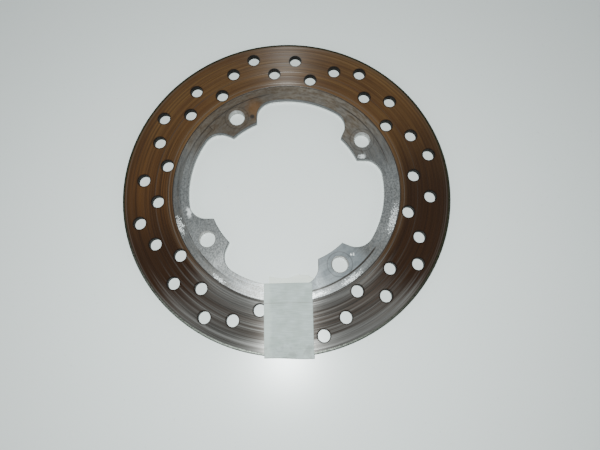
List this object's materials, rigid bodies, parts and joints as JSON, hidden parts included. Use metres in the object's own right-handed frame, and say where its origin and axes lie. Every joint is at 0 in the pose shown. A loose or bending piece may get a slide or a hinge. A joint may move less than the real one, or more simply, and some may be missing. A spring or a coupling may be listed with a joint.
{
  "type": "brake disc rotor",
  "caption": "Flat one-piece rear brake disc with a drilled friction ring and inward mounting lugs, with a strip of paper tape folded over its ring.",
  "frame": {"origin": "on the wheel axis, in the plane of the four hub seats under the lugs", "axes": "+Z along the wheel axis, away from the hub; +X and +Y through two neighbouring bolt holes"},
  "size_m": [0.22, 0.22, 0.005],
  "materials": {
    "disc_steel": "worn stainless steel, brown film on the swept band, bare grey on the lugs",
    "paper_tape": "matte crepe paper tape, pale grey-green"
  },
  "bodies": {
    "root": {"brake_disc": "disc_steel", "masking_tape": "paper_tape"}
  },
  "joints": []
}
